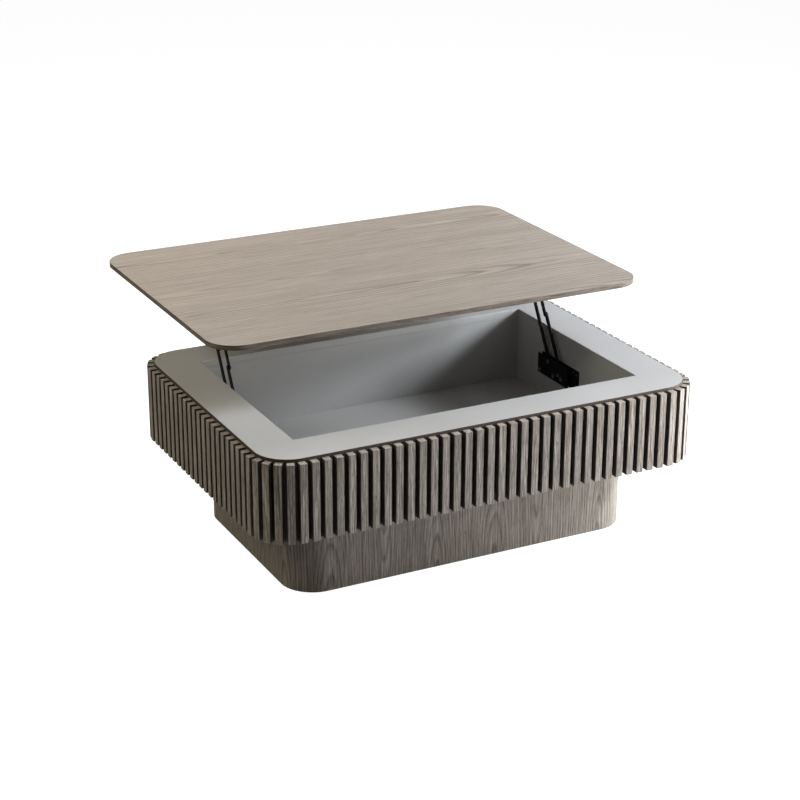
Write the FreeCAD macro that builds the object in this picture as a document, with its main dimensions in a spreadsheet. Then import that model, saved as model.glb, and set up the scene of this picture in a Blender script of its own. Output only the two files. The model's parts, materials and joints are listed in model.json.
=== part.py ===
import FreeCAD, Part
import math
import os
import Sketcher

from FreeCAD import Placement, Rotation, Vector

# Lift top coffee table, in millimetres.
# +X runs along the length, +Z is up and +Y is the side that the top lifts towards.
# The origin is on the floor, under the middle of the plinth.
# The model stands in its open pose: the top is raised and shifted towards +Y.

DIMENSIONS = [
    # The storage box: a rounded block with a rectangular well in its top face.
    ("box_length", 970.0),
    ("box_width", 670.0),
    ("box_radius", 71.0),
    ("well_length", 787.0),
    ("well_width", 487.0),
    ("box_base_height", 172.0),
    ("box_top_height", 343.0),
    ("bottom_thick", 5.0),
    ("rim_thick", 16.0),
    ("wall_thick", 16.0),
    ("shell_thick", 6.0),
    ("band_thick", 0.8),
    ("rib_thick", 18.0),
    # The slats stand on the shell of the box, on edge, one pitch apart.
    ("slat_width", 15.0),
    ("slat_depth", 15.0),
    ("slat_top_height", 337.0),
    # The plinth below the box.
    ("plinth_length", 790.0),
    ("plinth_width", 490.0),
    ("plinth_radius", 72.0),
    ("plinth_thick", 16.0),
    ("plinth_board_thick", 15.0),
    ("plinth_rail_height", 100.0),
    ("plinth_rail_thick", 30.0),
    ("plinth_block_length", 60.0),
    ("plinth_block_width", 45.0),
    ("glide_height", 2.0),
    ("glide_radius", 12.0),
    # The lifting top.
    ("top_length", 988.0),
    ("top_width", 682.0),
    ("top_radius", 65.0),
    ("top_thick", 10.0),
    ("top_open_height", 502.7),
    ("top_open_shift", 225.0),
    ("bumper_height", 1.2),
    ("bumper_radius", 7.0),
    ("closing_gap", 0.3),
    # The lift mechanism: two parallel arms on each side wall of the well.
    ("arm_open_angle", 60.0),
    ("arm_width", 11.0),
    ("arm_thick", 3.0),
    ("arm_boss_radius", 7.5),
    ("back_pivot_y", 86.1),
    ("back_pivot_z", 267.0),
    ("front_pivot_y", 30.5),
    ("front_pivot_z", 243.0),
    ("pin_radius", 3.0),
    ("pin_clearance", 0.05),
    ("rivet_head_radius", 5.0),
    ("rivet_head_height", 1.6),
    ("plate_thick", 2.5),
    ("plate_gap", 0.4),
    ("arm_stand_off", 5.0),
    ("wall_plate_start_y", -26.0),
    ("pivot_plate_start_y", 2.0),
    ("plate_end_y", 128.0),
    ("plate_low_z", 231.0),
    ("plate_high_z", 277.0),
    ("spacer_z", 239.5),
    ("spacer_front_y", 65.0),
    ("spacer_back_y", 120.5),
    ("stop_along_arm", 11.0),
    ("bracket_start_y", 126.0),
    ("bracket_length", 130.0),
    ("bracket_drop", 20.0),
    ("flange_width", 25.0),
    # Screws.
    ("screw_radius", 2.0),
    ("screw_head_radius", 3.8),
    ("screw_head_height", 2.0),
    ("plate_screw_length", 14.0),
    ("top_screw_length", 10.0),
    ("board_screw_length", 19.0),
    ("wall_screw_length", 40.0),
]

FRONT_SLATS = 32
SIDE_SLATS = 20
CORNER_SLATS = 6
RIBS_LONG_SIDE = (-300.0, -100.0, 100.0, 300.0)
RIBS_SHORT_SIDE = (-120.0, 120.0)
SIDES = {"left": -1, "right": 1}
# Local X, Y, Z go to +Y, +Z, +X, so that a plate drawn flat stands against a side wall.
UPRIGHT = Rotation(Vector(1, 1, 1), 120)

doc = FreeCAD.newDocument("lift_top_coffee_table")
sheet = doc.addObject("Spreadsheet::Sheet", "Sizes")
size = dict(DIMENSIONS)
for row, (alias, value) in enumerate(DIMENSIONS, start=1):
    sheet.set("A%d" % row, str(value))
    sheet.setAlias("A%d" % row, alias)
doc.recompute()

nodes = []


# ---------------------------------------------------------------- working heights and lengths

box_side = size["well_length"] / 2
shell_base = size["box_base_height"] + size["bottom_thick"]
rim_underside = size["box_top_height"] - size["rim_thick"]
top_underside = size["top_open_height"] - size["top_thick"]
top_closed_underside = size["box_top_height"] + size["closing_gap"] + size["bumper_height"]
corner_x = size["box_length"] / 2 - size["box_radius"]
corner_y = size["box_width"] / 2 - size["box_radius"]

# The arms carry the top from closed to open along an arc, so the straight move between the two
# poses is a chord of the circle that each upper pivot runs on.
rise = top_underside - top_closed_underside
chord = math.hypot(size["top_open_shift"], rise)
chord_angle = math.degrees(math.atan2(rise, size["top_open_shift"]))
half_swing = chord_angle + 90 - size["arm_open_angle"]
arm_length = chord / (2 * math.sin(math.radians(half_swing)))
arm_direction = Vector(
    0,
    math.cos(math.radians(size["arm_open_angle"])),
    math.sin(math.radians(size["arm_open_angle"])),
)
print("arm length %.3f mm, swing %.3f degrees" % (arm_length, 2 * half_swing))

lower_pivots = {
    "back": Vector(0, size["back_pivot_y"], size["back_pivot_z"]),
    "front": Vector(0, size["front_pivot_y"], size["front_pivot_z"]),
}
upper_pivots = {name: pivot + arm_direction * arm_length for name, pivot in lower_pivots.items()}
for name, pivot in upper_pivots.items():
    print("upper pivot %s: y %.4f z %.4f" % (name, pivot.y, pivot.z))

# Distances from the well's side wall, inwards, of each layer of the mechanism.
wall_plate_layer = (0.0, size["plate_thick"])
arm_layer = (
    wall_plate_layer[1] + size["arm_stand_off"],
    wall_plate_layer[1] + size["arm_stand_off"] + size["arm_thick"],
)
pivot_plate_layer = (
    arm_layer[1] + size["plate_gap"],
    arm_layer[1] + size["plate_gap"] + size["plate_thick"],
)


# ---------------------------------------------------------------- building blocks


def bind(item, **expressions):
    """Bind properties of an object to expressions on the sheet."""
    for name, expression in expressions.items():
        item.setExpression(name, expression)
    return item


def keep(item, label):
    """Give a finished sub-part its label and add it to the nodes that are written."""
    item.Label = label
    nodes.append(item)
    return item


def block(name, length, width, height, corner):
    """A box of three sheet expressions with its lowest corner at a point."""
    item = doc.addObject("Part::Box", name)
    bind(item, Length=length, Width=width, Height=height)
    item.Placement = Placement(corner, Rotation())
    return item


def rod(name, radius, height, base, rotation=Rotation()):
    """A cylinder of two sheet expressions that starts at a point."""
    item = doc.addObject("Part::Cylinder", name)
    bind(item, Radius=radius, Height=height)
    item.Placement = Placement(base, rotation)
    return item


def group(name, members):
    """Several identical solids as one node."""
    item = doc.addObject("Part::Compound", name)
    item.Links = members
    return item


def fuse(name, members):
    """One solid from several."""
    item = doc.addObject("Part::MultiFuse", name)
    item.Shapes = members
    item.Refine = True
    return item


def cut(name, base, tool):
    """One shape less another."""
    item = doc.addObject("Part::Cut", name)
    item.Base = base
    item.Tool = tool
    return item


def origin_plane(body, role):
    """One of a body's own origin planes."""
    for feature in body.Origin.OriginFeatures:
        if feature.Role == role:
            return feature
    raise ValueError(role)


def new_sketch(body, name, role="XY_Plane"):
    """An empty sketch on a body's own origin plane."""
    sketch = body.newObject("Sketcher::SketchObject", name)
    sketch.AttachmentSupport = [(origin_plane(body, role), "")]
    sketch.MapMode = "FlatFace"
    return sketch


def add_rectangle(sketch, length, width):
    """A rectangle centred on the sketch's origin, bound to two sheet expressions."""
    corners = [Vector(-50, -30, 0), Vector(50, -30, 0), Vector(50, 30, 0), Vector(-50, 30, 0)]
    first = sketch.GeometryCount
    for i, start in enumerate(corners):
        sketch.addGeometry(Part.LineSegment(start, corners[(i + 1) % 4]), False)
    for i in range(4):
        sketch.addConstraint(Sketcher.Constraint("Coincident", first + i, 2, first + (i + 1) % 4, 1))
    for i, way in enumerate(("Horizontal", "Vertical", "Horizontal", "Vertical")):
        sketch.addConstraint(Sketcher.Constraint(way, first + i))
    sketch.addConstraint(Sketcher.Constraint("Symmetric", first, 1, first + 2, 1, -1, 1))
    wide = sketch.addConstraint(Sketcher.Constraint("DistanceX", first, 1, first, 2, 100.0))
    deep = sketch.addConstraint(Sketcher.Constraint("DistanceY", first + 1, 1, first + 1, 2, 60.0))
    sketch.setExpression("Constraints[%d]" % wide, length)
    sketch.setExpression("Constraints[%d]" % deep, width)


def add_pad(body, name, sketch, length):
    """Pad a sketch by a sheet expression."""
    pad = body.newObject("PartDesign::Pad", name)
    pad.Profile = sketch
    bind(pad, Length=length)
    doc.recompute()
    return pad


def upright_edges(shape):
    """Names of the straight vertical edges of a shape."""
    names = []
    for i, edge in enumerate(shape.Edges, start=1):
        box = edge.BoundBox
        if box.ZLength > 1e-6 and box.XLength < 1e-6 and box.YLength < 1e-6:
            names.append("Edge%d" % i)
    return names


def rounded_board(name, length, width, radius, thickness, height):
    """A flat board with round corners that lies at a height, centred on the origin."""
    body = doc.addObject("PartDesign::Body", name)
    sketch = new_sketch(body, name + "_outline")
    add_rectangle(sketch, length, width)
    pad = add_pad(body, name + "_pad", sketch, thickness)
    rounding = body.newObject("PartDesign::Fillet", name + "_corners")
    rounding.Base = (pad, upright_edges(pad.Shape))
    bind(rounding, Radius=radius)
    body.Tip = rounding
    body.Placement.Base = Vector(0, 0, height)
    doc.recompute()
    return body


def pocket_through(body, name, length, width):
    """A rectangular opening right through a body."""
    before = body.Shape.Volume
    sketch = new_sketch(body, name + "_outline")
    add_rectangle(sketch, length, width)
    pocket = body.newObject("PartDesign::Pocket", name)
    pocket.Profile = sketch
    pocket.Type = "ThroughAll"
    pocket.Midplane = True
    body.Tip = pocket
    doc.recompute()
    if body.Shape.Volume >= before:
        raise RuntimeError(name + " cut nothing")


def quarter_rings(name, radius, thickness, height, base, along, across):
    """Four bent corner pieces: quarter tubes about the corner centres of a rounded outline."""
    rings = []
    for turn, (x, y) in enumerate(((along, across), (-along, across), (-along, -across), (along, -across))):
        tubes = []
        for part, expression in (("outer", radius), ("inner", "%s - %s" % (radius, thickness))):
            tube = rod("%s_%s_%d" % (name, part, turn), expression, height, Vector())
            tube.Angle = 90
            tubes.append(tube)
        ring = cut("%s_%d" % (name, turn), *tubes)
        ring.Placement = Placement(Vector(x, y, base), Rotation(Vector(0, 0, 1), 90 * turn))
        rings.append(ring)
    return group(name, rings)


def countersunk_screw(name, length, head_point, rotation):
    """A screw whose flat head faces -Z of its rotation and lies at a point."""
    shank = rod(name + "_shank", "Sizes.screw_radius", length, Vector())
    head = doc.addObject("Part::Cone", name + "_head")
    bind(
        head,
        Radius1="Sizes.screw_head_radius",
        Radius2="Sizes.screw_radius",
        Height="Sizes.screw_head_height",
    )
    screw = fuse(name, [shank, head])
    screw.Placement = Placement(head_point, rotation)
    return screw


def seats(name, screws):
    """The holes that a group of screws needs: one plain copy of each screw."""
    copies = []
    for i, screw in enumerate(screws):
        copy = doc.addObject("Part::Feature", "%s_%d" % (name, i))
        copy.Shape = screw.Shape
        copies.append(copy)
    return group(name, copies)


# ---------------------------------------------------------------- plinth


def build_plinth():
    """A ring of four panels and four bent corners, a top board, a middle rail and glides."""
    height = "Sizes.box_base_height - Sizes.glide_height"
    long_side = "Sizes.plinth_length - 2 * Sizes.plinth_radius"
    short_side = "Sizes.plinth_width - 2 * Sizes.plinth_radius"
    base = size["glide_height"]
    half_length = size["plinth_length"] / 2
    half_width = size["plinth_width"] / 2
    along = half_length - size["plinth_radius"]
    across = half_width - size["plinth_radius"]
    thick = size["plinth_thick"]
    for name, y in (("front", -half_width), ("back", half_width - thick)):
        panel = block("plinth_panel_" + name, long_side, "Sizes.plinth_thick", height, Vector(-along, y, base))
        keep(panel, "plinth_panel_" + name)
    for name, x in (("left", -half_length), ("right", half_length - thick)):
        panel = block("plinth_panel_" + name, "Sizes.plinth_thick", short_side, height, Vector(x, -across, base))
        keep(panel, "plinth_panel_" + name)
    corners = quarter_rings(
        "plinth_corners", "Sizes.plinth_radius", "Sizes.plinth_thick", height, base, along, across
    )
    keep(corners, "plinth_corners")

    rail = block(
        "plinth_middle_rail",
        "Sizes.plinth_rail_thick",
        "Sizes.plinth_width - 2 * Sizes.plinth_thick",
        "Sizes.plinth_rail_height",
        Vector(-size["plinth_rail_thick"] / 2, thick - half_width, base),
    )
    keep(rail, "plinth_middle_rail")

    blocks = []
    glide_points = [Vector(0, 0, 0)]
    inner = half_width - thick
    for sx in (-1, 1):
        for sy in (-1, 1):
            middle_x = sx * (along - size["plinth_block_length"] / 2)
            middle_y = sy * (inner - size["plinth_block_width"] / 2)
            corner = Vector(
                middle_x - size["plinth_block_length"] / 2,
                middle_y - size["plinth_block_width"] / 2,
                base,
            )
            name = "plinth_block_%d" % len(blocks)
            blocks.append(
                block(
                    name,
                    "Sizes.plinth_block_length",
                    "Sizes.plinth_block_width",
                    "Sizes.plinth_rail_height",
                    corner,
                )
            )
            glide_points.append(Vector(middle_x, middle_y, 0))
    keep(group("plinth_blocks", blocks), "plinth_blocks")
    glides = [
        rod("glide_%d" % i, "Sizes.glide_radius", "Sizes.glide_height", point)
        for i, point in enumerate(glide_points)
    ]
    keep(group("floor_glides", glides), "floor_glides")

    board_height = size["box_base_height"] - size["plinth_board_thick"]
    board = rounded_board(
        "plinth_board_blank",
        "Sizes.plinth_length - 2 * Sizes.plinth_thick",
        "Sizes.plinth_width - 2 * Sizes.plinth_thick",
        "Sizes.plinth_radius - Sizes.plinth_thick",
        "Sizes.plinth_board_thick",
        board_height,
    )
    screws = []
    for x in (-along * 0.9, 0, along * 0.9):
        for y in (-across * 0.9, across * 0.9):
            point = Vector(x, y, board_height)
            name = "plinth_screw_%d" % len(screws)
            screws.append(countersunk_screw(name, "Sizes.board_screw_length", point, Rotation()))
    doc.recompute()
    keep(cut("plinth_top_board", board, seats("plinth_board_seats", screws)), "plinth_top_board")
    keep(group("plinth_screws", screws), "plinth_screws")
    return screws


# ---------------------------------------------------------------- storage box


def well_walls(plate_screws):
    """The four walls of the well, screwed together at the corners."""
    height = "Sizes.box_top_height - Sizes.rim_thick - Sizes.box_base_height - Sizes.bottom_thick"
    thick = size["wall_thick"]
    half_width = size["well_width"] / 2
    outside_y = half_width + thick
    screws = []
    for sx in (-1, 1):
        for sy in (-1, 1):
            for z in (shell_base + 40, rim_underside - 40):
                point = Vector(sx * (box_side + thick / 2), sy * outside_y, z)
                rotation = Rotation(Vector(0, 0, 1), Vector(0, -sy, 0))
                name = "wall_screw_%d" % len(screws)
                screws.append(countersunk_screw(name, "Sizes.wall_screw_length", point, rotation))
    doc.recompute()
    keep(group("well_wall_screws", screws), "well_wall_screws")

    for name, y in (("front", -outside_y), ("back", half_width)):
        blank = block(
            "well_blank_" + name,
            "Sizes.well_length + 2 * Sizes.wall_thick",
            "Sizes.wall_thick",
            height,
            Vector(-box_side - thick, y, shell_base),
        )
        wall = cut("well_wall_" + name, blank, seats("well_seats_" + name, screws))
        keep(wall, "well_wall_" + name)
    for name, x in (("left", -box_side - thick), ("right", box_side)):
        blank = block(
            "well_blank_" + name,
            "Sizes.wall_thick",
            "Sizes.well_width",
            height,
            Vector(x, -half_width, shell_base),
        )
        wall = cut("well_wall_" + name, blank, seats("well_seats_" + name, screws + plate_screws[name]))
        keep(wall, "well_wall_" + name)


def shell():
    """The thin outer skin behind the slats, with the ribs that hold it off the well."""
    height = "Sizes.box_top_height - Sizes.rim_thick - Sizes.box_base_height - Sizes.bottom_thick"
    long_side = "Sizes.box_length - 2 * Sizes.box_radius"
    short_side = "Sizes.box_width - 2 * Sizes.box_radius"
    half_length = size["box_length"] / 2
    half_width = size["box_width"] / 2
    thick = size["shell_thick"]
    for name, y in (("front", -half_width), ("back", half_width - thick)):
        panel = block(
            "shell_" + name, long_side, "Sizes.shell_thick", height, Vector(-corner_x, y, shell_base)
        )
        keep(panel, "shell_" + name)
    for name, x in (("left", -half_length), ("right", half_length - thick)):
        panel = block(
            "shell_" + name, "Sizes.shell_thick", short_side, height, Vector(x, -corner_y, shell_base)
        )
        keep(panel, "shell_" + name)
    corners = quarter_rings(
        "shell_corners", "Sizes.box_radius", "Sizes.shell_thick", height, shell_base, corner_x, corner_y
    )
    keep(corners, "shell_corners")

    ribs = []
    depth = "(Sizes.box_width - Sizes.well_width) / 2 - Sizes.wall_thick - Sizes.shell_thick"
    rib = size["rib_thick"]
    for x in RIBS_LONG_SIDE:
        for y in (thick - half_width, size["well_width"] / 2 + size["wall_thick"]):
            corner = Vector(x - rib / 2, y, shell_base)
            ribs.append(block("rib_%d" % len(ribs), "Sizes.rib_thick", depth, height, corner))
    for y in RIBS_SHORT_SIDE:
        for x in (thick - half_length, box_side + size["wall_thick"]):
            corner = Vector(x, y - rib / 2, shell_base)
            ribs.append(block("rib_%d" % len(ribs), depth, "Sizes.rib_thick", height, corner))
    keep(group("shell_ribs", ribs), "shell_ribs")


def rim():
    """The flat frame around the well and the band glued round its outer edge."""
    inset = "2 * Sizes.band_thick"
    panel = rounded_board(
        "rim_panel",
        "Sizes.box_length - " + inset,
        "Sizes.box_width - " + inset,
        "Sizes.box_radius - Sizes.band_thick",
        "Sizes.rim_thick",
        rim_underside,
    )
    pocket_through(panel, "rim_opening", "Sizes.well_length", "Sizes.well_width")
    keep(panel, "rim_panel")
    outer = rounded_board(
        "rim_band_outer",
        "Sizes.box_length",
        "Sizes.box_width",
        "Sizes.box_radius",
        "Sizes.rim_thick",
        rim_underside,
    )
    inner = rounded_board(
        "rim_band_inner",
        "Sizes.box_length - " + inset,
        "Sizes.box_width - " + inset,
        "Sizes.box_radius - Sizes.band_thick",
        "Sizes.rim_thick",
        rim_underside,
    )
    keep(cut("rim_edge_band", outer, inner), "rim_edge_band")


def slat(name, middle, facing):
    """One slat: the middle of its back face's foot is at a point, and it faces away at an angle."""
    item = doc.addObject("Part::Box", name)
    bind(
        item,
        Length="Sizes.slat_depth",
        Width="Sizes.slat_width",
        Height="Sizes.slat_top_height - Sizes.box_base_height",
    )
    turn = Rotation(Vector(0, 0, 1), facing)
    item.Placement = Placement(middle - turn.multVec(Vector(0, size["slat_width"] / 2, 0)), turn)
    return item


def slats():
    """A row of slats on each side and a fan of them round each corner, all one pitch apart."""
    arc_radius = size["box_radius"] + size["slat_depth"]
    quarter_way = corner_x + arc_radius * math.pi / 2 + corner_y
    pitch = quarter_way / ((FRONT_SLATS + SIDE_SLATS) / 2 + CORNER_SLATS)
    foot = size["box_base_height"]
    half_length = size["box_length"] / 2
    half_width = size["box_width"] / 2
    rows = (
        ("front", FRONT_SLATS, -90, lambda step: Vector(step, -half_width, foot)),
        ("back", FRONT_SLATS, 90, lambda step: Vector(step, half_width, foot)),
        ("left", SIDE_SLATS, 180, lambda step: Vector(-half_length, step, foot)),
        ("right", SIDE_SLATS, 0, lambda step: Vector(half_length, step, foot)),
    )
    for name, count, facing, point in rows:
        steps = [(i - (count - 1) / 2) * pitch for i in range(count)]
        row_slats = [slat("slat_%s_%d" % (name, i), point(step), facing) for i, step in enumerate(steps)]
        keep(group("slats_" + name, row_slats), "slats_" + name)

    # Angles on the arc, from the long side's end, of the slats that come after the long side's last.
    first = (FRONT_SLATS / 2 + 0.5) * pitch - corner_x
    angles = [math.degrees((first + i * pitch) / arc_radius) for i in range(CORNER_SLATS)]
    for y_name, sy in (("front", -1), ("back", 1)):
        for x_name, sx in (("left", -1), ("right", 1)):
            fan = []
            for i, angle in enumerate(angles):
                way = Vector(sx * math.sin(math.radians(angle)), sy * math.cos(math.radians(angle)), 0)
                middle = Vector(sx * corner_x, sy * corner_y, foot) + way * size["box_radius"]
                facing = math.degrees(math.atan2(way.y, way.x))
                fan.append(slat("slat_%s_%s_%d" % (y_name, x_name, i), middle, facing))
            label = "slats_corner_%s_%s" % (y_name, x_name)
            keep(group(label, fan), label)


# ---------------------------------------------------------------- lift mechanism


def low_x(sign, layer):
    """The lower X of a layer of the mechanism, given by its two distances from the side wall."""
    return box_side - layer[1] if sign > 0 else layer[0] - box_side


def standing(sign, layer, point):
    """Placement of a plate drawn flat, stood up against a side wall at a point of the YZ plane."""
    return Placement(Vector(low_x(sign, layer), point.y, point.z), UPRIGHT)


def flat_plate(name, length, width, thickness, placement):
    """A rectangular plate drawn flat and centred, with the placement of its middle."""
    body = doc.addObject("PartDesign::Body", name)
    sketch = new_sketch(body, name + "_outline")
    add_rectangle(sketch, length, width)
    add_pad(body, name + "_pad", sketch, thickness)
    body.Placement = placement
    doc.recompute()
    return body


def pin(name, sign, span, radius, point):
    """A plain round pin between two distances from the side wall."""
    item = doc.addObject("Part::Cylinder", name)
    bind(item, Radius=radius)
    item.Height = span[1] - span[0]
    item.Placement = standing(sign, span, point)
    return item


def rivet(name, sign, start, end, point, collar=None):
    """A rivet from one distance to another off the wall, with a domed head and maybe a collar."""
    shank = pin(name + "_shank", sign, (start, end), "Sizes.pin_radius", point)
    head = doc.addObject("Part::Cone", name + "_head")
    bind(
        head,
        Radius1="Sizes.rivet_head_radius",
        Radius2="Sizes.rivet_head_radius * 0.6",
        Height="Sizes.rivet_head_height",
    )
    edge = box_side - end
    facing = Rotation(Vector(0, 0, 1), Vector(-sign, 0, 0))
    head.Placement = Placement(Vector(sign * edge, point.y, point.z), facing)
    members = [shank, head]
    if collar:
        members.append(pin(name + "_collar", sign, collar, "Sizes.rivet_head_radius", point))
    return fuse(name, members)


def arm(name, sign, pivot):
    """One arm: a flat bar with a wider boss at its lower end and a hole at each end."""
    body = doc.addObject("PartDesign::Body", name)
    bar = new_sketch(body, name + "_bar_outline")
    add_rectangle(bar, "%.6f" % arm_length, "Sizes.arm_width")
    add_pad(body, name + "_bar", bar, "Sizes.arm_thick")
    for end, reach, radius in (
        ("lower", -arm_length / 2, "Sizes.arm_boss_radius"),
        ("upper", arm_length / 2, "Sizes.arm_width / 2"),
    ):
        boss = new_sketch(body, "%s_%s_boss_outline" % (name, end))
        add_circle(boss, reach, radius)
        add_pad(body, "%s_%s_boss" % (name, end), boss, "Sizes.arm_thick")
    before = body.Shape.Volume
    holes = new_sketch(body, name + "_holes_outline")
    for reach in (-arm_length / 2, arm_length / 2):
        add_circle(holes, reach, "Sizes.pin_radius + Sizes.pin_clearance")
    pocket = body.newObject("PartDesign::Pocket", name + "_holes")
    pocket.Profile = holes
    pocket.Type = "ThroughAll"
    pocket.Midplane = True
    body.Tip = pocket
    turn = Rotation(Vector(1, 0, 0), size["arm_open_angle"]).multiply(UPRIGHT)
    middle = pivot + arm_direction * (arm_length / 2)
    body.Placement = Placement(Vector(low_x(sign, arm_layer), middle.y, middle.z), turn)
    doc.recompute()
    if body.Shape.Volume >= before:
        raise RuntimeError(name + " has no holes")
    return body


def add_circle(sketch, along, radius):
    """A circle on the sketch's X axis, bound to a sheet expression."""
    index = sketch.addGeometry(Part.Circle(Vector(along, 0, 0), Vector(0, 0, 1), 2.0), False)
    sketch.addConstraint(Sketcher.Constraint("PointOnObject", index, 3, -1))
    sketch.addConstraint(Sketcher.Constraint("DistanceX", -1, 1, index, 3, along))
    bound = sketch.addConstraint(Sketcher.Constraint("Radius", index, 2.0))
    sketch.setExpression("Constraints[%d]" % bound, radius)


def wall_bracket(side, sign):
    """Two plates on the side wall, held apart by the pivots, two spacers and the arms' stop."""
    middle_z = (size["plate_low_z"] + size["plate_high_z"]) / 2
    plates = {}
    for name, start, layer in (
        ("wall_plate", "wall_plate_start_y", wall_plate_layer),
        ("pivot_plate", "pivot_plate_start_y", pivot_plate_layer),
    ):
        middle = Vector(0, (size[start] + size["plate_end_y"]) / 2, middle_z)
        plates[name] = flat_plate(
            "%s_%s_blank" % (name, side),
            "Sizes.plate_end_y - Sizes." + start,
            "Sizes.plate_high_z - Sizes.plate_low_z",
            "Sizes.plate_thick",
            standing(sign, layer, middle),
        )

    screws = []
    rotation = Rotation(Vector(0, 0, 1), Vector(sign, 0, 0))
    face_x = sign * (box_side - size["plate_thick"])
    start_y = size["wall_plate_start_y"]
    for y, z in ((start_y + 8, 268), (start_y + 8, 240), (start_y + 21, 268), (size["plate_end_y"] - 8, 254)):
        name = "plate_screw_%s_%d" % (side, len(screws))
        screws.append(countersunk_screw(name, "Sizes.plate_screw_length", Vector(face_x, y, z), rotation))

    far = pivot_plate_layer[1]
    # A collar on each pivot holds the arm off the wall plate.
    collar = (wall_plate_layer[1], arm_layer[0] - size["plate_gap"])
    pivots = [
        rivet("%s_pivot_%s" % (name, side), sign, 0.0, far, point, collar)
        for name, point in lower_pivots.items()
    ]
    # The stop touches the lower edge of the front arm when the top is fully open.
    off_edge = size["arm_width"] / 2 + size["pin_radius"] + size["closing_gap"]
    across = Vector(0, arm_direction.z, -arm_direction.y)
    stop = lower_pivots["front"] + arm_direction * size["stop_along_arm"] + across * off_edge
    spacer_points = [
        Vector(0, size["spacer_front_y"], size["spacer_z"]),
        Vector(0, size["spacer_back_y"], size["spacer_z"]),
        stop,
    ]
    spacers = [
        rivet("spacer_%s_%d" % (side, i), sign, 0.0, far, point) for i, point in enumerate(spacer_points)
    ]
    doc.recompute()
    for name, plate in plates.items():
        holes = [
            pin("%s_hole_%s_%d" % (name, side, i), sign, (-1.0, far + 1.0), "Sizes.pin_radius", point)
            for i, point in enumerate(list(lower_pivots.values()) + spacer_points)
        ]
        if name == "wall_plate":
            holes.append(seats("plate_seats_" + side, screws))
        keep(cut("%s_%s" % (name, side), plate, group("%s_holes_%s" % (name, side), holes)), "%s_%s" % (name, side))
    keep(group("plate_screws_" + side, screws), "plate_screws_" + side)
    keep(group("pivot_rivets_" + side, pivots), "pivot_rivets_" + side)
    keep(group("spacer_rivets_" + side, spacers), "spacer_rivets_" + side)
    return screws


def top_bracket(side, sign):
    """An angle under the top whose two legs carry on the line of the open arms."""
    layer = pivot_plate_layer
    web_base = top_underside - size["bracket_drop"]
    x = low_x(sign, layer)
    web = block(
        "bracket_web_" + side,
        "Sizes.plate_thick",
        "Sizes.bracket_length",
        "Sizes.bracket_drop",
        Vector(x, size["bracket_start_y"], web_base),
    )
    flange_layer = (layer[0], layer[0] + size["flange_width"])
    flange_base = top_underside - size["plate_thick"]
    flange = block(
        "bracket_flange_" + side,
        "Sizes.flange_width",
        "Sizes.bracket_length",
        "Sizes.plate_thick",
        Vector(low_x(sign, flange_layer), size["bracket_start_y"], flange_base),
    )
    members = [web, flange]
    holes = []
    turn = Rotation(Vector(1, 0, 0), size["arm_open_angle"]).multiply(UPRIGHT)
    leg_end = top_underside - 2.4 * size["plate_thick"]
    for name, pivot in upper_pivots.items():
        leg = doc.addObject("Part::Box", "bracket_leg_%s_%s" % (name, side))
        bind(leg, Width="Sizes.arm_width", Height="Sizes.plate_thick")
        leg.Length = (leg_end - pivot.z) / arm_direction.z
        corner = turn.multVec(Vector(0, -size["arm_width"] / 2, 0))
        leg.Placement = Placement(Vector(x, pivot.y, pivot.z) + corner, turn)
        boss = pin("bracket_boss_%s_%s" % (name, side), sign, layer, "Sizes.arm_width / 2", pivot)
        members += [leg, boss]
        span = (layer[0] - 1.0, layer[1] + 1.0)
        holes.append(pin("bracket_hole_%s_%s" % (name, side), sign, span, "Sizes.pin_radius", pivot))

    screws = []
    screw_x = sign * (box_side - layer[0] - size["flange_width"] * 0.62)
    for step in (0.1, 0.37, 0.63, 0.9):
        y = size["bracket_start_y"] + step * size["bracket_length"]
        name = "top_screw_%s_%d" % (side, len(screws))
        point = Vector(screw_x, y, flange_base)
        screws.append(countersunk_screw(name, "Sizes.top_screw_length", point, Rotation()))
    doc.recompute()
    holes.append(seats("bracket_seats_" + side, screws))
    bracket = cut(
        "top_bracket_" + side,
        fuse("bracket_blank_" + side, members),
        group("bracket_holes_" + side, holes),
    )
    keep(bracket, "top_bracket_" + side)
    keep(group("top_screws_" + side, screws), "top_screws_" + side)
    start = arm_layer[0] - size["plate_gap"] / 2
    rivets = [
        rivet("upper_rivet_%s_%s" % (name, side), sign, start, layer[1], point)
        for name, point in upper_pivots.items()
    ]
    keep(group("upper_rivets_" + side, rivets), "upper_rivets_" + side)
    return screws


# ---------------------------------------------------------------- lifting top


def lifting_top(screws):
    """The board, the band round its edge and four bumpers that meet the rim when it is closed."""
    shift = Vector(0, size["top_open_shift"], top_underside)
    inset = "2 * Sizes.band_thick"
    outer = rounded_board(
        "top_outer", "Sizes.top_length", "Sizes.top_width", "Sizes.top_radius", "Sizes.top_thick", 0
    )
    cores = [
        rounded_board(
            name,
            "Sizes.top_length - " + inset,
            "Sizes.top_width - " + inset,
            "Sizes.top_radius - Sizes.band_thick",
            "Sizes.top_thick",
            0,
        )
        for name in ("top_core", "top_core_for_band")
    ]
    for body in [outer] + cores:
        body.Placement.Base = shift
    doc.recompute()
    keep(cut("tabletop", cores[0], seats("top_seats", screws)), "tabletop")
    keep(cut("tabletop_edge_band", outer, cores[1]), "tabletop_edge_band")

    reach_x = (box_side + size["box_length"] / 2) / 2
    reach_y = size["well_width"] / 2 - 20
    bumpers = []
    for sx in (-1, 1):
        for sy in (-1, 1):
            point = Vector(sx * reach_x, sy * reach_y, 0) + shift - Vector(0, 0, size["bumper_height"])
            name = "bumper_%d" % len(bumpers)
            bumpers.append(rod(name, "Sizes.bumper_radius", "Sizes.bumper_height", point))
    keep(group("top_bumpers", bumpers), "top_bumpers")


# ---------------------------------------------------------------- the whole table

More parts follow.
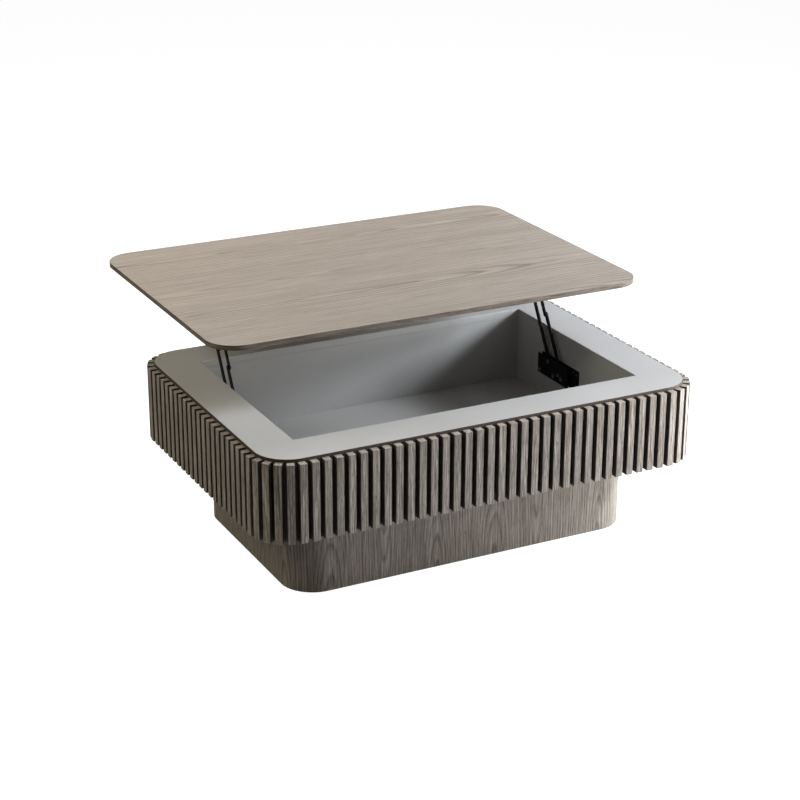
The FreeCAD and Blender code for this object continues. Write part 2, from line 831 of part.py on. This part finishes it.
plinth_screws = build_plinth()
plate_screws = {side: wall_bracket(side, sign) for side, sign in SIDES.items()}
top_screws = []
for side, sign in SIDES.items():
    for name, pivot in lower_pivots.items():
        keep(arm("arm_%s_%s" % (name, side), sign, pivot), "arm_%s_%s" % (name, side))
    top_screws += top_bracket(side, sign)

bottom = rounded_board(
    "box_bottom_blank",
    "Sizes.box_length",
    "Sizes.box_width",
    "Sizes.box_radius",
    "Sizes.bottom_thick",
    size["box_base_height"],
)
keep(cut("box_bottom", bottom, seats("bottom_seats", plinth_screws)), "box_bottom")
well_walls(plate_screws)
shell()
rim()
slats()
lifting_top(top_screws)
doc.recompute()

for item in doc.Objects:
    if "Invalid" in item.State or "Error" in item.State:
        raise RuntimeError("%s failed to compute" % item.Name)
for item in nodes:
    if item.Shape.isNull() or not item.Shape.isValid() or not item.Shape.Solids:
        raise RuntimeError("%s has no valid solid" % item.Label)

os.makedirs("parts", exist_ok=True)
for item in nodes:
    item.Shape.exportStep(os.path.join("parts", item.Label + ".step"))
    print("%-32s %3d solids %12.0f mm3" % (item.Label, len(item.Shape.Solids), item.Shape.Volume))
print("%d nodes" % len(nodes))
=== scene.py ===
import json
import math

import bpy
from mathutils import Matrix, Vector


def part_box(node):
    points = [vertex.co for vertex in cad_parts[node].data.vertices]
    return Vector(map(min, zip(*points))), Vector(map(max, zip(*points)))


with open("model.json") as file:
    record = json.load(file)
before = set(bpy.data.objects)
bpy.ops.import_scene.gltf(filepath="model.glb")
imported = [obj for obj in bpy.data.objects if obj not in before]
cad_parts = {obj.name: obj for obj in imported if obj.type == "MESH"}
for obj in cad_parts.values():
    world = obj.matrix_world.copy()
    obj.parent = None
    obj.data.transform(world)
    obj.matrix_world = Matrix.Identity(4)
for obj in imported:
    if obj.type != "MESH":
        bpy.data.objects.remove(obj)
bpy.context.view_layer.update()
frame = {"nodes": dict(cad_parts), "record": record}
NODES = frame["nodes"]

# ---------------------------------------------------------------- places and sizes that the materials use

PLINTH_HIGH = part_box("plinth_corners")[1]
RIM_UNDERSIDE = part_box("rim_edge_band")[0].z
WELL_HALF_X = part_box("well_wall_right")[0].x
WELL_HALF_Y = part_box("well_wall_back")[0].y
SLAT_HALF_X = -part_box("slats_left")[0].x
SLAT_HALF_Y = -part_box("slats_front")[0].y
SLAT_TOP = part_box("slats_front")[1].z

PLINTH_RADIUS = 0.072
SLAT_RADIUS = 0.086
PLINTH_LEAF = 0.118
TOP_LEAF = 0.176
SLAT_FACE_DEPTH = 0.0006
SLAT_SIDE_DEPTH = 0.0016
SLAT_LINES = 230.0
CUT_MARGIN = 0.0003
RIM_MARGIN = 0.0001
WELL_MARGIN = 0.01
BOX_MIDDLE = (0.0, 0.0, 0.25)
WHITE = (1.0, 1.0, 1.0, 1.0)


# ---------------------------------------------------------------- node helpers


class Graph:
    """The nodes of one material, with short calls for the kinds that repeat."""

    def __init__(self, name):
        self.material = bpy.data.materials.new(name)
        self.material.use_nodes = True
        self.tree = self.material.node_tree
        self.shader = self.tree.nodes["Principled BSDF"]
        coordinates = self.tree.nodes.new("ShaderNodeTexCoord")
        self.position = coordinates.outputs["Object"]

    def add(self, kind, inputs=(), **settings):
        node = self.tree.nodes.new(kind)
        for key, value in settings.items():
            setattr(node, key, value)
        for key, value in dict(inputs).items():
            self.feed(node.inputs[key], value)
        return node

    def feed(self, socket, value):
        if isinstance(value, bpy.types.NodeSocket):
            self.tree.links.new(value, socket)
        else:
            socket.default_value = value

    def math(self, operation, a, b=0.0):
        return self.add("ShaderNodeMath", {0: a, 1: b}, operation=operation).outputs[0]

    def axes(self, vector):
        return self.add("ShaderNodeSeparateXYZ", {0: vector}).outputs

    def vector(self, x, y, z):
        return self.add("ShaderNodeCombineXYZ", {0: x, 1: y, 2: z}).outputs[0]

    def stretch(self, vector, scales):
        return self.add("ShaderNodeVectorMath", {0: vector, 1: scales}, operation="MULTIPLY").outputs[0]

    def noise(self, vector, scale=1.0, detail=2.0, roughness=0.5):
        inputs = {"Vector": vector, "Scale": scale, "Detail": detail, "Roughness": roughness}
        return self.add("ShaderNodeTexNoise", inputs).outputs["Fac"]

    def random(self, value):
        return self.add("ShaderNodeTexWhiteNoise", {"W": value}, noise_dimensions="1D").outputs["Value"]

    def span(self, value, low, high, to_low=0.0, to_high=1.0):
        inputs = {"Value": value, "From Min": low, "From Max": high, "To Min": to_low, "To Max": to_high}
        return self.add("ShaderNodeMapRange", inputs, clamp=True).outputs["Result"]

    def ramp(self, factor, stops):
        node = self.add("ShaderNodeValToRGB", {"Fac": factor})
        elements = node.color_ramp.elements
        while len(elements) < len(stops):
            elements.new(0.5)
        for element, (place, colour) in zip(elements, stops):
            element.position = place
            element.color = (*colour, 1.0)
        return node.outputs["Color"]

    def shade(self, colour, factor):
        """A colour multiplied by a grey factor."""
        grey = self.vector(factor, factor, factor)
        inputs = {0: 1.0, 6: colour, 7: grey}
        return self.add("ShaderNodeMix", inputs, data_type="RGBA", blend_type="MULTIPLY").outputs[2]

    def blend(self, factor, a, b):
        node = self.add("ShaderNodeMix", data_type="RGBA")
        for key, value in {0: factor, 6: a, 7: b}.items():
            self.feed(node.inputs[key], (*value, 1.0) if isinstance(value, tuple) else value)
        return node.outputs[2]

    def bump(self, height, distance, strength):
        inputs = {"Height": height, "Distance": distance, "Strength": strength}
        return self.add("ShaderNodeBump", inputs).outputs["Normal"]


def way_round(graph, half_x, half_y, radius):
    """The distance along a rounded outline, from the middle of its front, negative to the left."""
    x, y, _ = graph.axes(graph.position)
    along, across = half_x - radius, half_y - radius
    flat_x = graph.math("MAXIMUM", graph.math("MINIMUM", x, along), -along)
    flat_y = graph.math("MAXIMUM", graph.math("MINIMUM", y, across), -across)
    past_x = graph.math("MAXIMUM", graph.math("SUBTRACT", graph.math("ABSOLUTE", x), along), 0.0)
    past_y = graph.math("MAXIMUM", graph.math("SUBTRACT", graph.math("ABSOLUTE", y), across), 0.0)
    arc = graph.math("MULTIPLY", graph.math("ARCTAN2", past_x, past_y), radius)
    from_front = graph.math(
        "ADD", graph.math("ADD", graph.math("ABSOLUTE", flat_x), arc), graph.math("ADD", flat_y, across)
    )
    half_way = 2 * along + 2 * across + math.pi * radius
    to_back = graph.math("SUBTRACT", half_way, graph.math("ADD", graph.math("ABSOLUTE", flat_x), arc))
    behind = graph.math("GREATER_THAN", y, across - 1e-5)
    way = graph.math(
        "ADD",
        graph.math("MULTIPLY", from_front, graph.math("SUBTRACT", 1.0, behind)),
        graph.math("MULTIPLY", to_back, behind),
    )
    return graph.math("MULTIPLY", way, graph.math("SIGN", x))


def depth_inside(graph):
    """How far a point lies inside the rounded outline of the slats' faces."""
    x, y, _ = graph.axes(graph.position)
    past_x = graph.math("SUBTRACT", graph.math("ABSOLUTE", x), SLAT_HALF_X - SLAT_RADIUS)
    past_y = graph.math("SUBTRACT", graph.math("ABSOLUTE", y), SLAT_HALF_Y - SLAT_RADIUS)
    out_x = graph.math("MAXIMUM", past_x, 0.0)
    out_y = graph.math("MAXIMUM", past_y, 0.0)
    square = graph.math("ADD", graph.math("MULTIPLY", out_x, out_x), graph.math("MULTIPLY", out_y, out_y))
    round_part = graph.math("SQRT", square)
    flat_part = graph.math("MINIMUM", graph.math("MAXIMUM", past_x, past_y), 0.0)
    return graph.math("SUBTRACT", SLAT_RADIUS, graph.math("ADD", round_part, flat_part))


# ---------------------------------------------------------------- wood


def growth_rings(graph, across, along, leaf, spacing, taper, depth, wander):
    """Growth rings of plain-sawn veneer: nested arches in the middle of each leaf, lines at its sides.

    Returns the ring pattern from 0 (early wood) to 1 (late wood) and a random number per leaf.
    """
    place = graph.math("DIVIDE", across, leaf)
    index = graph.math("FLOOR", place)
    chance = graph.random(index)
    middle = graph.math("MULTIPLY", graph.math("SUBTRACT", chance, 0.5), 0.4)
    side = graph.math("SUBTRACT", graph.math("SUBTRACT", graph.math("FRACT", place), 0.5), middle)
    side = graph.math("MULTIPLY", side, leaf)
    shift = graph.math("MULTIPLY", graph.random(graph.math("ADD", index, 7.3)), 0.9)
    core = graph.math("ADD", graph.math("MULTIPLY", graph.math("ADD", along, shift), taper), depth)
    square = graph.math("ADD", graph.math("MULTIPLY", side, side), graph.math("MULTIPLY", core, core))
    slow = graph.vector(graph.math("MULTIPLY", across, 11.0), graph.math("MULTIPLY", along, 2.4), index)
    quick = graph.vector(graph.math("MULTIPLY", across, 70.0), graph.math("MULTIPLY", along, 8.0), index)
    sway = graph.math("SUBTRACT", graph.noise(slow, 1.0, 2.0, 0.4), 0.5)
    sway = graph.math("MULTIPLY", sway, wander)
    shiver = graph.math("SUBTRACT", graph.noise(quick, 1.0, 2.0, 0.5), 0.5)
    shiver = graph.math("MULTIPLY", shiver, wander * 0.09)
    field = graph.math("ADD", graph.math("SQRT", square), graph.math("ADD", sway, shiver))
    phase = graph.math("FRACT", graph.math("DIVIDE", field, spacing))
    rise = graph.span(phase, 0.1, 0.84)
    fall = graph.span(phase, 0.84, 1.0, 1.0, 0.0)
    late = graph.math("MULTIPLY", graph.math("POWER", rise, 2.6), fall)
    return late, chance


def fibres(graph, stretch, coarse, fine):
    """Streaks along the grain: a coarse and a fine noise, each from 0 to 1."""
    vector = graph.stretch(graph.position, stretch)
    return (
        graph.span(graph.noise(vector, coarse, 3.0, 0.6), 0.3, 0.7),
        graph.span(graph.noise(vector, fine, 2.0, 0.5), 0.32, 0.68),
    )


def pores(graph, stretch, scale, low, high):
    """Short open pores along the grain: 1 in a pore and 0 between them."""
    vector = graph.stretch(graph.position, stretch)
    return graph.span(graph.noise(vector, scale, 1.0, 0.4), low, high)


def finish_wood(graph, colour, streak, pore, late, rough_low, rough_high, depth):
    """Colour, roughness and bump of open-pored stained wood under a matt lacquer."""
    shader = graph.shader
    graph.feed(shader.inputs["Base Color"], colour)
    rough = graph.span(streak, 0.0, 1.0, rough_low, rough_high)
    graph.feed(shader.inputs["Roughness"], rough)
    shader.inputs["Specular IOR Level"].default_value = 0.3
    height = graph.math("SUBTRACT", graph.math("MULTIPLY", streak, 0.35), pore)
    height = graph.math("SUBTRACT", height, graph.math("MULTIPLY", late, 0.25))
    graph.feed(shader.inputs["Normal"], graph.bump(height, depth, 0.6))
    return graph.material


def plinth_wood():
    """Stained oak veneer with upright grain that runs on round the plinth's corners."""
    graph = Graph("plinth_oak")
    across = way_round(graph, PLINTH_HIGH.x, PLINTH_HIGH.y, PLINTH_RADIUS)
    up = graph.axes(graph.position)[2]
    late, chance = growth_rings(
        graph, across, up, PLINTH_LEAF, spacing=0.0056, taper=0.085, depth=-0.042, wander=0.02
    )
    coarse, fine = fibres(graph, (1.0, 1.0, 0.022), 240.0, 760.0)
    pore = pores(graph, (1.0, 1.0, 0.05), 1300.0, 0.56, 0.68)
    stops = [(0.0, (0.136, 0.116, 0.099)), (0.5, (0.198, 0.175, 0.155)), (1.0, (0.258, 0.234, 0.213))]
    tone = graph.ramp(coarse, stops)
    broken = graph.math("MULTIPLY", late, graph.span(fine, 0.0, 1.0, 1.0, 0.5))
    tone = graph.shade(tone, graph.span(broken, 0.0, 1.0, 1.12, 0.36))
    tone = graph.shade(tone, graph.span(fine, 0.0, 1.0, 0.62, 1.22))
    tone = graph.shade(tone, graph.span(pore, 0.0, 1.0, 1.0, 0.6))
    tone = graph.shade(tone, graph.span(chance, 0.0, 1.0, 0.95, 1.05))
    return finish_wood(graph, tone, fine, pore, late, rough_low=0.5, rough_high=0.66, depth=0.00022)


def slat_wood():
    """Solid stained oak strips with grain along them, with painted shade on their inset sides and painted
    light on their top ends.
    """
    graph = Graph("slat_oak")
    end = graph.math("GREATER_THAN", graph.axes(graph.position)[2], SLAT_TOP - CUT_MARGIN)
    depth = graph.math("MULTIPLY", depth_inside(graph), graph.math("SUBTRACT", 1.0, end))
    island = graph.add("ShaderNodeNewGeometry").outputs["Random Per Island"]
    shift = graph.vector(graph.math("MULTIPLY", island, 3.1), graph.math("MULTIPLY", island, 5.7), island)
    moved = graph.add("ShaderNodeVectorMath", {0: graph.position, 1: shift}, operation="ADD").outputs[0]
    graph.position = moved
    coarse, fine = fibres(graph, (1.0, 1.0, 0.03), 310.0, 760.0)
    x, y, _ = graph.axes(graph.position)
    sway = graph.noise(graph.stretch(graph.position, (1.0, 1.0, 0.1)), 40.0, 2.0, 0.5)
    drift = graph.math("ADD", graph.math("ADD", x, y), graph.math("MULTIPLY", sway, 0.03))
    line = graph.math("FRACT", graph.math("MULTIPLY", drift, SLAT_LINES))
    rise = graph.math("POWER", graph.span(line, 0.15, 0.86), 2.2)
    late = graph.math("MULTIPLY", rise, graph.span(line, 0.86, 1.0, 1.0, 0.0))
    pore = pores(graph, (1.0, 1.0, 0.06), 1300.0, 0.56, 0.68)
    stops = [(0.0, (0.138, 0.115, 0.096)), (0.5, (0.252, 0.225, 0.200)), (1.0, (0.362, 0.336, 0.310))]
    tone = graph.ramp(coarse, stops)
    tone = graph.shade(tone, graph.span(late, 0.0, 1.0, 1.06, 0.55))
    tone = graph.shade(tone, graph.span(fine, 0.0, 1.0, 0.56, 1.26))
    tone = graph.shade(tone, graph.span(pore, 0.0, 1.0, 1.0, 0.48))
    tone = graph.shade(tone, graph.span(island, 0.0, 1.0, 0.9, 1.08))
    # painted shade: the slats' sides, set back from their faces, are darkened to stand for the shade in
    # the gaps between the slats
    tone = graph.shade(tone, graph.span(depth, SLAT_FACE_DEPTH, SLAT_SIDE_DEPTH, 1.0, 0.28))
    # painted light: the slats' top ends are brightened to stand for the light falling on them from above
    tone = graph.shade(tone, graph.span(end, 0.0, 1.0, 1.0, 1.7))
    return finish_wood(graph, tone, fine, pore, late, rough_low=0.5, rough_high=0.68, depth=0.00025)


def top_wood():
    """Lighter greige oak veneer, grain along the length of the top."""
    graph = Graph("top_oak")
    x, y, _ = graph.axes(graph.position)
    late, chance = growth_rings(
        graph, y, x, TOP_LEAF, spacing=0.0095, taper=0.05, depth=-0.024, wander=0.03
    )
    coarse, fine = fibres(graph, (0.03, 1.0, 1.0), 200.0, 620.0)
    pore = pores(graph, (0.05, 1.0, 1.0), 1300.0, 0.56, 0.7)
    lanes = graph.noise(graph.stretch(graph.position, (0.5, 14.0, 1.0)), 1.0, 2.0, 0.5)
    lane = graph.span(lanes, 0.35, 0.65)
    stops = [(0.0, (0.288, 0.252, 0.221)), (0.5, (0.330, 0.294, 0.262)), (1.0, (0.366, 0.332, 0.301))]
    tone = graph.ramp(coarse, stops)
    strong = graph.math("MULTIPLY", late, graph.span(lane, 0.0, 1.0, 0.4, 1.0))
    tone = graph.shade(tone, graph.span(strong, 0.0, 1.0, 1.03, 0.62))
    tone = graph.shade(tone, graph.span(fine, 0.0, 1.0, 0.88, 1.1))
    tone = graph.shade(tone, graph.span(pore, 0.0, 1.0, 1.0, 0.86))
    tone = graph.shade(tone, graph.span(chance, 0.0, 1.0, 0.98, 1.02))
    return finish_wood(graph, tone, fine, pore, late, rough_low=0.48, rough_high=0.62, depth=0.00016)


def edge_wood():
    """Dark banding round the tabletop: thin wood strips seen on edge."""
    graph = Graph("edge_oak")
    stretch = (0.05, 0.05, 1.0)
    coarse, fine = fibres(graph, stretch, 420.0, 1200.0)
    pore = pores(graph, stretch, 1500.0, 0.6, 0.72)
    tone = graph.ramp(coarse, [(0.0, (0.040, 0.031, 0.024)), (1.0, (0.145, 0.117, 0.095))])
    tone = graph.shade(tone, graph.span(fine, 0.0, 1.0, 0.85, 1.1))
    return finish_wood(graph, tone, fine, pore, coarse, rough_low=0.5, rough_high=0.7, depth=0.0002)


def shell_wood():
    """Veneer behind the slats darkened nearly to black as painted shade in the gaps, and the browner band
    round the rim above them.
    """
    graph = Graph("shell_oak")
    coarse, fine = fibres(graph, (1.0, 1.0, 0.05), 420.0, 1200.0)
    # painted shade: the veneer below the rim, seen between the slats, is nearly black to stand for the
    # shade in the gaps
    hidden = graph.ramp(coarse, [(0.0, (0.012, 0.009, 0.007)), (1.0, (0.034, 0.026, 0.019))])
    band = graph.ramp(coarse, [(0.0, (0.030, 0.023, 0.018)), (1.0, (0.068, 0.053, 0.042))])
    above = graph.math("GREATER_THAN", graph.axes(graph.position)[2], RIM_UNDERSIDE - RIM_MARGIN)
    tone = graph.blend(above, hidden, band)
    return finish_wood(graph, tone, fine, fine, coarse, rough_low=0.5, rough_high=0.7, depth=0.0002)


def frame_wood():
    """Plain unfinished softwood and board of the hidden frame."""
    graph = Graph("frame_wood")
    coarse, fine = fibres(graph, (1.0, 1.0, 0.08), 120.0, 600.0)
    tone = graph.ramp(coarse, [(0.0, (0.42, 0.29, 0.17)), (1.0, (0.62, 0.47, 0.31))])
    tone = graph.shade(tone, graph.span(fine, 0.0, 1.0, 0.9, 1.05))
    return finish_wood(graph, tone, fine, fine, coarse, rough_low=0.6, rough_high=0.8, depth=0.0002)


# ---------------------------------------------------------------- lacquer, metal, plastic


def grey_lacquer():
    """Light grey matt lacquer with a faint mottle, with painted shade, nearly black, outside the well and
    below the rim.
    """
    graph = Graph("grey_lacquer")
    mottle = graph.noise(graph.position, 6.0, 3.0, 0.55)
    speck = graph.noise(graph.position, 900.0, 2.0, 0.5)
    tone = graph.ramp(mottle, [(0.3, (0.417, 0.419, 0.422)), (0.7, (0.438, 0.439, 0.441))])
    tone = graph.shade(tone, graph.span(speck, 0.3, 0.7, 0.985, 1.01))
    x, y, z = graph.axes(graph.position)
    past_x = graph.math("SUBTRACT", graph.math("ABSOLUTE", x), WELL_HALF_X + WELL_MARGIN)
    past_y = graph.math("SUBTRACT", graph.math("ABSOLUTE", y), WELL_HALF_Y + WELL_MARGIN)
    outside = graph.math("GREATER_THAN", graph.math("MAXIMUM", past_x, past_y), 0.0)
    # painted shade: the lacquer outside the well and below the rim is darkened nearly to black to stand
    # for the shade there
    painted_shade_below_rim = graph.math("MULTIPLY", outside, graph.math("LESS_THAN", z, RIM_UNDERSIDE + RIM_MARGIN))
    tone = graph.shade(tone, graph.span(painted_shade_below_rim, 0.0, 1.0, 1.0, 0.03))
    shader = graph.shader
    graph.feed(shader.inputs["Base Color"], tone)
    graph.feed(shader.inputs["Roughness"], graph.span(mottle, 0.3, 0.7, 0.42, 0.5))
    peel = graph.noise(graph.position, 420.0, 2.0, 0.5)
    graph.feed(shader.inputs["Normal"], graph.bump(peel, 0.00008, 0.35))
    return graph.material


def black_steel():
    """Black powder-coated steel with a fine texture."""
    graph = Graph("black_steel")
    grain = graph.noise(graph.position, 2200.0, 3.0, 0.6)
    patch = graph.noise(graph.position, 60.0, 3.0, 0.6)
    tone = graph.ramp(grain, [(0.35, (0.003, 0.003, 0.0033)), (0.7, (0.009, 0.009, 0.0095))])
    shader = graph.shader
    graph.feed(shader.inputs["Base Color"], tone)
    graph.feed(shader.inputs["Roughness"], graph.span(patch, 0.3, 0.7, 0.5, 0.64))
    shader.inputs["Specular IOR Level"].default_value = 0.1
    graph.feed(shader.inputs["Normal"], graph.bump(grain, 0.00006, 0.5))
    return graph.material


def bright_steel():
    """Dull grey steel of rivets and screws."""
    graph = Graph("bright_steel")
    patch = graph.noise(graph.position, 300.0, 3.0, 0.6)
    tone = graph.ramp(patch, [(0.3, (0.08, 0.08, 0.078)), (0.7, (0.20, 0.20, 0.195))])
    shader = graph.shader
    graph.feed(shader.inputs["Base Color"], tone)
    shader.inputs["Metallic"].default_value = 1.0
    graph.feed(shader.inputs["Roughness"], graph.span(patch, 0.3, 0.7, 0.24, 0.4))
    return graph.material


def soft_plastic(name, low, high, roughness):
    """Moulded plastic or rubber with a fine grain."""
    graph = Graph(name)
    grain = graph.noise(graph.position, 700.0, 3.0, 0.6)
    graph.feed(graph.shader.inputs["Base Color"], graph.ramp(grain, [(0.3, low), (0.7, high)]))
    graph.feed(graph.shader.inputs["Roughness"], graph.span(grain, 0.3, 0.7, roughness, roughness + 0.12))
    graph.feed(graph.shader.inputs["Normal"], graph.bump(grain, 0.00005, 0.5))
    return graph.material


MATERIALS = {
    "slat_wood": slat_wood(),
    "plinth_veneer": plinth_wood(),
    "top_veneer": top_wood(),
    "top_edge": edge_wood(),
    "shell_veneer": shell_wood(),
    "grey_lacquer": grey_lacquer(),
    "frame_wood": frame_wood(),
    "glide_plastic": soft_plastic("glide_plastic", (0.02, 0.02, 0.02), (0.045, 0.045, 0.045), 0.45),
    "bumper_rubber": soft_plastic("bumper_rubber", (0.40, 0.40, 0.39), (0.50, 0.50, 0.49), 0.35),
    "black_steel": black_steel(),
    "bright_steel": bright_steel(),
}
BOARD_BEVELS = {"rim_panel": 0.0008, "tabletop": 0.0006}
SLAT_BEVEL = 0.0007
STEEL_BEVEL = 0.0004


def bevel_width(node_name):
    """The width of a node's soft edges, or None where its edges stay sharp."""
    if node_name.startswith("slats_"):
        return SLAT_BEVEL
    if node_name.startswith(("arm_", "top_bracket", "wall_plate", "pivot_plate")):
        return STEEL_BEVEL
    return BOARD_BEVELS.get(node_name)


def dress(part):
    """The material of a CAD node, and soft edges where it has them."""
    node = NODES[part["node"]]
    node.data.materials.clear()
    node.data.materials.append(MATERIALS[part["material_slot"]])
    weld = node.modifiers.new("weld", "WELD")
    weld.merge_threshold = 1e-6
    width = bevel_width(part["node"])
    if width is None:
        return
    bevel = node.modifiers.new("bevel", "BEVEL")
    bevel.width = width
    bevel.segments = 2
    bevel.limit_method = "ANGLE"
    bevel.angle_limit = math.radians(40)


for subpart in frame["record"]["subparts"]:
    dress(subpart)


# ---------------------------------------------------------------- stage, lights and camera


def look_from(item, place, target):
    """Puts a light in its place and points it at a target."""
    item.location = place
    item.rotation_euler = (Vector(target) - Vector(place)).to_track_quat("-Z", "Y").to_euler()


def soft_light(name, place, target, width, height, power, colour):
    """A rectangular studio light."""
    light = bpy.data.lights.new(name, "AREA")
    light.shape = "RECTANGLE"
    light.size = width
    light.size_y = height
    light.energy = power
    light.color = colour
    item = bpy.data.objects.new(name, light)
    bpy.context.scene.collection.objects.link(item)
    look_from(item, place, target)


def make_floor():
    """A pale floor that glows white to the camera and is mid grey to every other ray."""
    mesh = bpy.data.meshes.new("floor")
    reach = 12.0
    drop = 0.0002
    corners = [(-reach, -reach, 0), (reach, -reach, 0), (reach, reach, 0), (-reach, reach, 0)]
    mesh.from_pydata(corners, [], [(0, 1, 2, 3)])
    floor = bpy.data.objects.new("floor", mesh)
    bpy.context.scene.collection.objects.link(floor)
    floor.location.z = -drop
    graph = Graph("floor_white")
    graph.feed(graph.shader.inputs["Base Color"], (0.25, 0.25, 0.25, 1.0))
    graph.shader.inputs["Roughness"].default_value = 0.9
    graph.shader.inputs["Specular IOR Level"].default_value = 0.0
    glow = graph.add("ShaderNodeEmission", {"Color": WHITE, "Strength": 0.97})
    both = graph.add("ShaderNodeAddShader")
    dull = graph.add("ShaderNodeBsdfDiffuse", {"Color": (0.5, 0.5, 0.5, 1.0)})
    seen = graph.add("ShaderNodeLightPath").outputs["Is Camera Ray"]
    choice = graph.add("ShaderNodeMixShader", {0: seen, 1: dull.outputs[0]})
    output = graph.tree.nodes["Material Output"]
    graph.tree.links.new(graph.shader.outputs[0], both.inputs[0])
    graph.tree.links.new(glow.outputs[0], both.inputs[1])
    graph.tree.links.new(both.outputs[0], choice.inputs[2])
    graph.tree.links.new(choice.outputs[0], output.inputs["Surface"])
    mesh.materials.append(graph.material)


def make_world():
    """White behind the object for the camera, and a faint white glow as fill light."""
    world = bpy.data.worlds.new("studio")
    world.use_nodes = True
    bpy.context.scene.world = world
    tree = world.node_tree
    fill = tree.nodes["Background"]
    fill.inputs["Color"].default_value = WHITE
    fill.inputs["Strength"].default_value = 0.004
    white = tree.nodes.new("ShaderNodeBackground")
    white.inputs["Color"].default_value = WHITE
    white.inputs["Strength"].default_value = 1.1
    path = tree.nodes.new("ShaderNodeLightPath")
    choice = tree.nodes.new("ShaderNodeMixShader")
    tree.links.new(path.outputs["Is Camera Ray"], choice.inputs[0])
    tree.links.new(fill.outputs[0], choice.inputs[1])
    tree.links.new(white.outputs[0], choice.inputs[2])
    tree.links.new(choice.outputs[0], tree.nodes["World Output"].inputs["Surface"])


def make_camera():
    """A camera in front of the table and to its left, looking down at it."""
    place = (-1.8029, -3.4470, 1.7928)
    azimuth = math.radians(-27.137)
    down = math.radians(21.379)
    data = bpy.data.cameras.new("camera")
    data.lens = 88.14
    data.sensor_width = 36.0
    data.shift_x = -0.5 / 800
    data.shift_y = 0.5 / 800
    camera = bpy.data.objects.new("camera", data)
    bpy.context.scene.collection.objects.link(camera)
    turn = Matrix.Rotation(azimuth, 4, "Z")
    tilt = Matrix.Rotation(math.pi / 2 - down, 4, "X")
    roll = Matrix.Rotation(0.0033, 4, "Z")
    camera.matrix_world = Matrix.Translation(place) @ turn @ tilt @ roll
    bpy.context.scene.camera = camera


make_floor()
make_world()
make_camera()
soft_light("key_low", (2.70, -0.72, 1.34), BOX_MIDDLE, 0.7, 0.7, 121.0, (0.89, 0.95, 1.0))
soft_light("key_high", (2.58, -0.69, 1.62), BOX_MIDDLE, 0.6, 0.6, 43.0, (0.94, 0.97, 1.0))
soft_light("far_right", (2.23, -1.29, 3.31), BOX_MIDDLE, 1.2, 1.2, 41.5, (1.0, 0.98, 0.94))
soft_light("high_right", (1.38, -0.37, 2.54), BOX_MIDDLE, 1.0, 1.0, 6.9, (0.75, 0.73, 1.0))
soft_light("low_right", (2.32, -1.34, 0.63), BOX_MIDDLE, 1.0, 1.0, 24.0, (1.0, 0.93, 0.80))
soft_light("near_right", (1.25, -0.75, 0.30), (0.3, -0.1, 0.10), 0.5, 0.3, 20.0, (1.0, 0.99, 0.97))
soft_light("back", (0.0, 1.91, 2.16), BOX_MIDDLE, 1.0, 1.0, 23.0, (1.0, 0.88, 0.73))
soft_light("back_left", (-1.79, 1.50, 1.60), BOX_MIDDLE, 1.0, 1.0, 21.0, (1.0, 0.94, 0.79))
soft_light("left", (-2.18, -0.38, 1.80), BOX_MIDDLE, 1.0, 1.0, 18.0, (1.0, 0.92, 0.71))
bpy.context.scene.view_settings.view_transform = "Standard"
